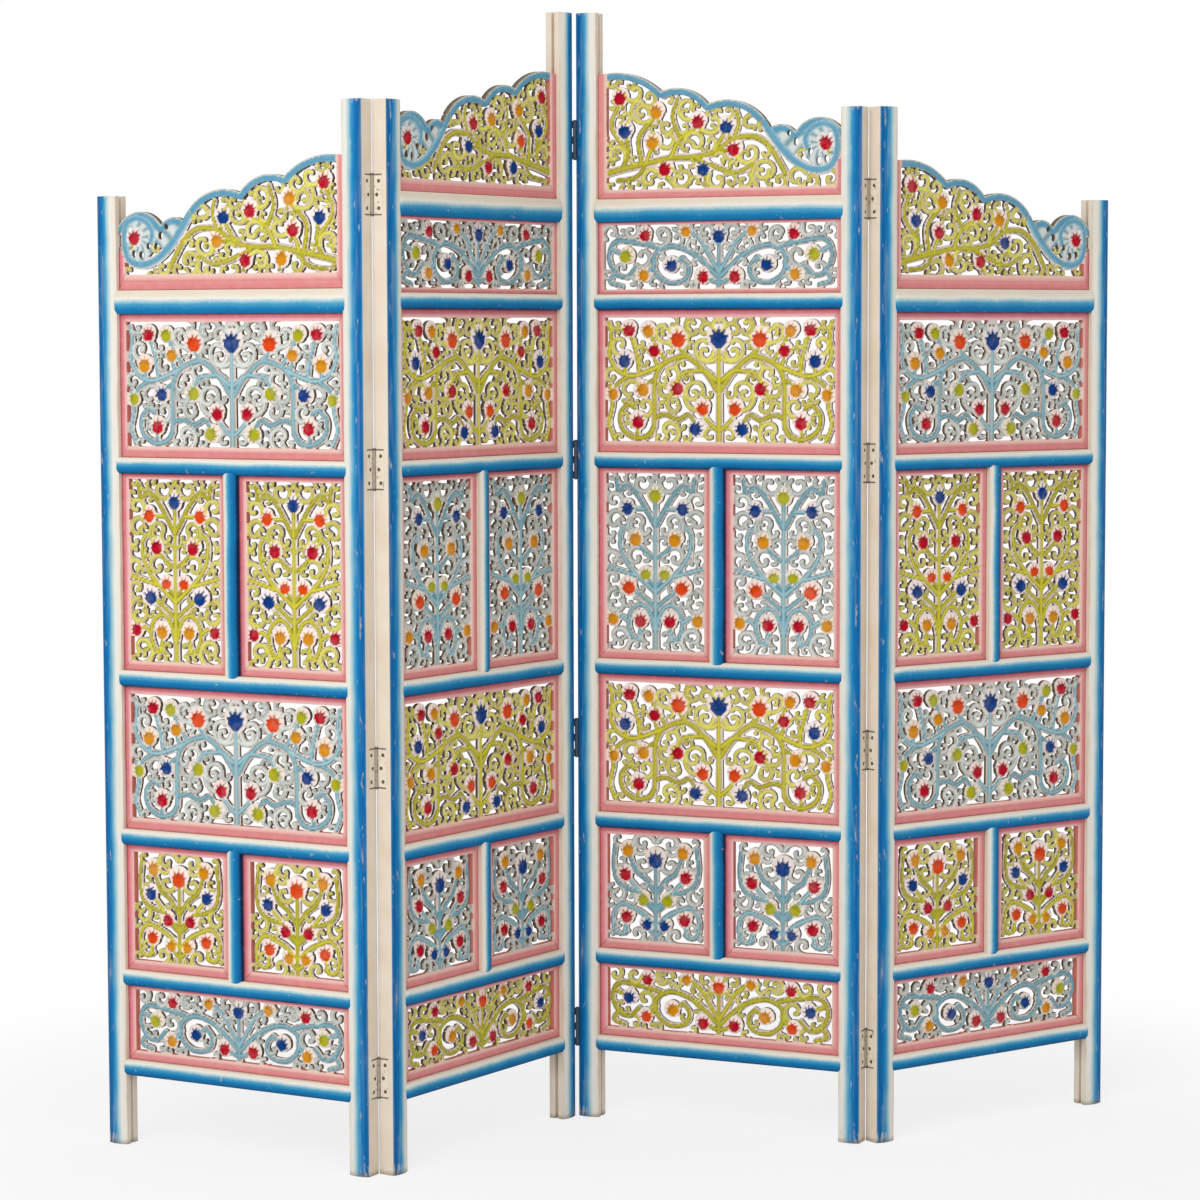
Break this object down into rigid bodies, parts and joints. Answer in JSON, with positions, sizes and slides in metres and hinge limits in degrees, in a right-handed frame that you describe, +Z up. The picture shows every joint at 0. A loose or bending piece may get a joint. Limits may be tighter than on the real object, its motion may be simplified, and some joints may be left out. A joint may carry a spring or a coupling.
{
  "type": "folding screen",
  "caption": "Free-standing folding wooden screen of hinged, stepped leaves, each a painted frame that holds pierced floral panels under a scalloped crest.",
  "frame": {"origin": "on the floor, under the middle of the standing screen's box", "axes": "+Z up, +X along the screen from its left end to its right end, -Y towards the front"},
  "size_m": [1.6528, 0.5126, 1.83],
  "materials": {
    "painted_frame": "worn paint over whitewash",
    "lime_openwork": "worn paint, carved",
    "teal_openwork": "worn paint, carved",
    "hinge_steel": "painted over, worn"
  },
  "bodies": {
    "leaf_1": {"hinge_1_left_plates": "hinge_steel", "hinge_1_left_screws": "hinge_steel", "leaf_1_base_strip_panel": "teal_openwork", "leaf_1_crest_panel": "lime_openwork", "leaf_1_left_stile": "painted_frame", "leaf_1_lower_wide_panel": "teal_openwork", "leaf_1_mullions": "painted_frame", "leaf_1_rails": "painted_frame", "leaf_1_right_stile": "painted_frame", "leaf_1_small_panels": "lime_openwork", "leaf_1_tall_panels": "lime_openwork", "leaf_1_upper_wide_panel": "teal_openwork"},
    "leaf_2": {"hinge_1_pins": "hinge_steel", "hinge_1_right_plates": "hinge_steel", "hinge_1_right_screws": "hinge_steel", "hinge_2_left_plates": "hinge_steel", "hinge_2_left_screws": "hinge_steel", "hinge_2_pins": "hinge_steel", "leaf_2_base_strip_panel": "lime_openwork", "leaf_2_crest_panel": "lime_openwork", "leaf_2_left_stile": "painted_frame", "leaf_2_lower_wide_panel": "lime_openwork", "leaf_2_mullions": "painted_frame", "leaf_2_rails": "painted_frame", "leaf_2_right_stile": "painted_frame", "leaf_2_small_panels": "teal_openwork", "leaf_2_tall_panels": "teal_openwork", "leaf_2_top_strip_panel": "teal_openwork", "leaf_2_upper_wide_panel": "lime_openwork"},
    "leaf_3": {"hinge_2_right_plates": "hinge_steel", "hinge_2_right_screws": "hinge_steel", "hinge_3_left_plates": "hinge_steel", "hinge_3_left_screws": "hinge_steel", "hinge_3_pins": "hinge_steel", "leaf_3_base_strip_panel": "lime_openwork", "leaf_3_crest_panel": "lime_openwork", "leaf_3_left_stile": "painted_frame", "leaf_3_lower_wide_panel": "lime_openwork", "leaf_3_mullions": "painted_frame", "leaf_3_rails": "painted_frame", "leaf_3_right_stile": "painted_frame", "leaf_3_small_panels": "teal_openwork", "leaf_3_tall_panels": "teal_openwork", "leaf_3_top_strip_panel": "teal_openwork", "leaf_3_upper_wide_panel": "lime_openwork"},
    "leaf_4": {"hinge_3_right_plates": "hinge_steel", "hinge_3_right_screws": "hinge_steel", "leaf_4_base_strip_panel": "teal_openwork", "leaf_4_crest_panel": "lime_openwork", "leaf_4_left_stile": "painted_frame", "leaf_4_lower_wide_panel": "teal_openwork", "leaf_4_mullions": "painted_frame", "leaf_4_rails": "painted_frame", "leaf_4_right_stile": "painted_frame", "leaf_4_small_panels": "lime_openwork", "leaf_4_tall_panels": "lime_openwork", "leaf_4_upper_wide_panel": "teal_openwork"}
  },
  "joints": [
    {"name": "left_fold", "type": "hinge", "parent": "leaf_2", "child": "leaf_1", "pos_m": [-0.37879, -0.23282, 0], "axis": [0, 0, -1], "range_deg": [-84.8, 95.2]},
    {"name": "middle_fold", "type": "hinge", "parent": "leaf_2", "child": "leaf_3", "pos_m": [-0.06449, 0.15889, 0], "axis": [0, 0, -1], "range_deg": [-80.7, 99.3]},
    {"name": "right_fold", "type": "hinge", "parent": "leaf_3", "child": "leaf_4", "pos_m": [0.40063, -0.03053, 0], "axis": [0, 0, 1], "range_deg": [-60.8, 119.2]}
  ]
}
